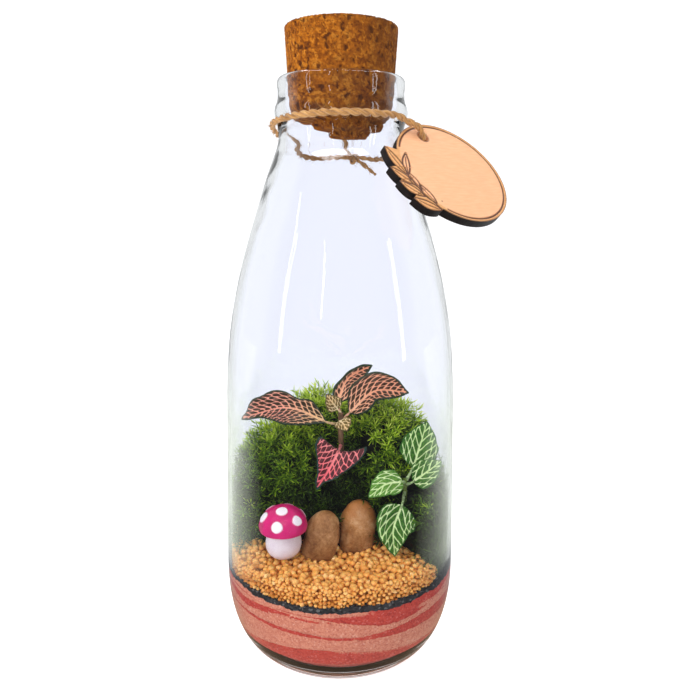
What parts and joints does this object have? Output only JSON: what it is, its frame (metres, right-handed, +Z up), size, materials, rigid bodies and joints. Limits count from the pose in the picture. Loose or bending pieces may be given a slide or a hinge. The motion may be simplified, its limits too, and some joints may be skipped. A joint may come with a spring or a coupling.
{
  "type": "glass plant terrarium",
  "caption": "Corked glass bottle terrarium with layered coloured sand, gravel, a moss cushion, two nerve plants, stones, a toadstool and a round wooden tag on twine.",
  "frame": {"origin": "centre of the bottle's flat underside, on the bottle's axis", "axes": "+Z up along the bottle's axis towards the cork; -Y is the front, where the stones and the toadstool stand; +X is to the right as seen from the front, the side where the tag hangs"},
  "size_m": [0.1086, 0.0948, 0.247],
  "materials": {
    "glass": "clear, smooth, very faintly blue",
    "cork": "pressed cork grains with dark specks, matt",
    "twine": "two-ply jute, hairy, matt",
    "plywood": "pale sanded plywood with a burnt laser-cut edge",
    "red_sand": "fine dyed sand, matt",
    "pink_sand": "fine dyed sand, matt",
    "black_sand": "coarse black sand, matt",
    "soil": "damp dark potting soil",
    "gravel": "small orange-tan grains, slightly waxy",
    "moss": "starry tufts, bright yellow-green at the tips",
    "stone": "smooth brown pebble, dull sheen",
    "toadstool_white": "white painted resin, satin",
    "toadstool_pink": "magenta painted resin with raised white dots, glossy",
    "pink_stem": "brown-green plant stem with fine hairs",
    "pink_leaf": "dark green leaf with a net of pink veins, soft sheen",
    "white_stem": "pale green plant stem with fine hairs",
    "white_leaf": "green leaf with a net of pale veins, soft sheen"
  },
  "bodies": {
    "root": {"glass_bottle": "glass", "cork_stopper": "cork", "twine_collar": "twine", "wood_tag": "plywood", "sand_red_base": "red_sand", "sand_pink_lower": "pink_sand", "sand_red_middle": "red_sand", "sand_pink_upper": "pink_sand", "sand_red_top": "red_sand", "sand_black": "black_sand", "potting_soil": "soil", "gravel_bed": "gravel", "moss_cushion": "moss", "stone_left": "stone", "stone_right": "stone", "mushroom_stem": "toadstool_white", "mushroom_cap": "toadstool_pink", "pink_stem": "pink_stem", "pink_leaf_1": "pink_leaf", "pink_leaf_2": "pink_leaf", "pink_leaf_3": "pink_leaf", "pink_leaf_4": "pink_leaf", "pink_leaf_5": "pink_leaf", "pink_leaf_6": "pink_leaf", "white_stem": "white_stem", "white_leaf_1": "white_leaf", "white_leaf_2": "white_leaf", "white_leaf_3": "white_leaf", "white_leaf_4": "white_leaf"}
  },
  "joints": []
}
